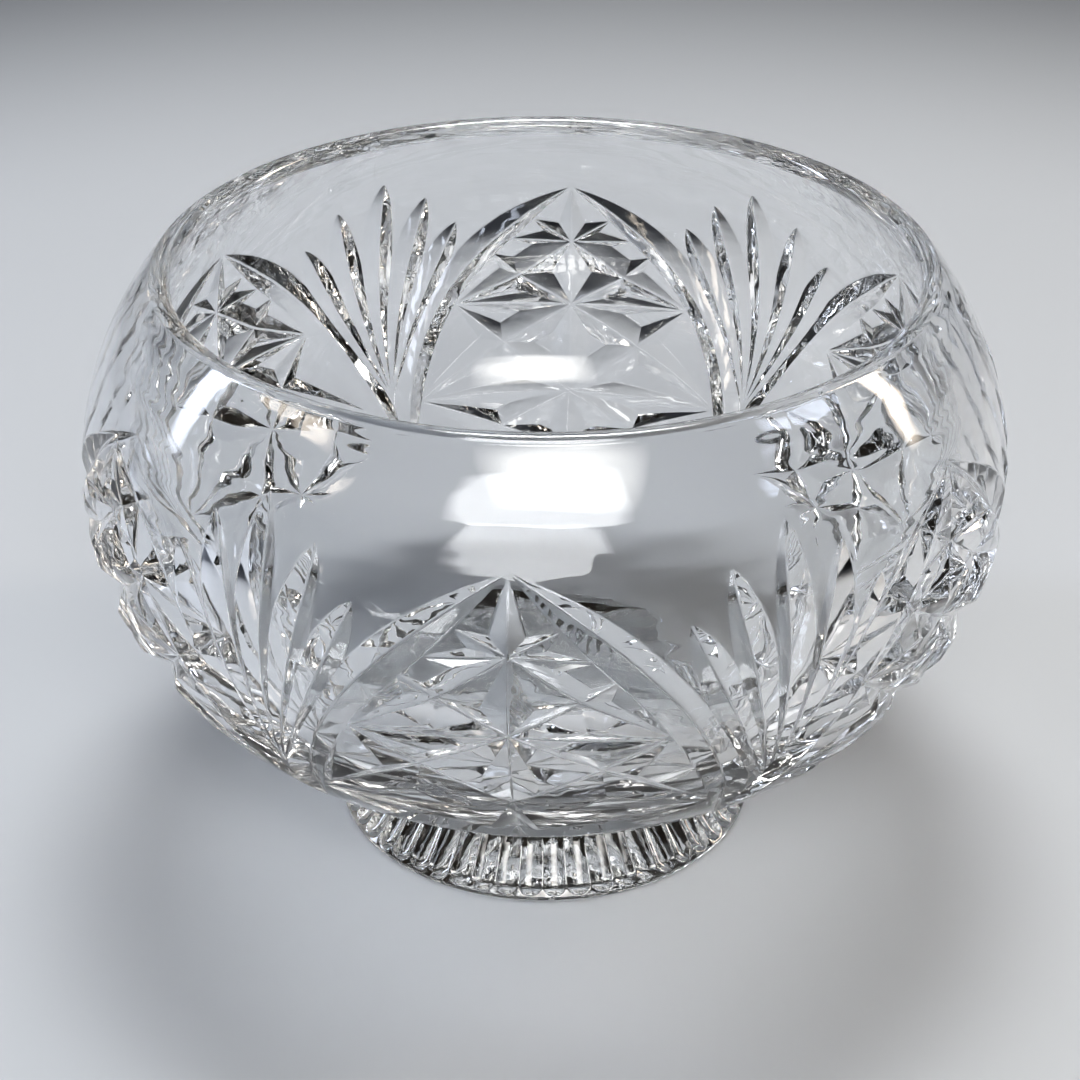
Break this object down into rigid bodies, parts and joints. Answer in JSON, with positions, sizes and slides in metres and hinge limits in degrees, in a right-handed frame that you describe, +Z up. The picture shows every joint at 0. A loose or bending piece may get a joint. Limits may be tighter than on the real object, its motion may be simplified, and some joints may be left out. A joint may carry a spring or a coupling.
{
  "type": "rose bowl vase",
  "caption": "Footed round bowl of clear cut crystal with an incurved mouth, fans and arched star panels cut round its belly, and a low fluted foot; holds water and flowers.",
  "frame": {"origin": "on the table, at the middle of the foot", "axes": "+Z up along the bowl's axis, -Y towards the front, where the axis of one cut panel lies"},
  "size_m": [0.1988, 0.1998, 0.134],
  "materials": {
    "crystal": "clear, fire-polished outside the cuts, wheel-cut and acid-polished in them"
  },
  "bodies": {
    "root": {"bowl": "crystal", "foot": "crystal"}
  },
  "joints": []
}
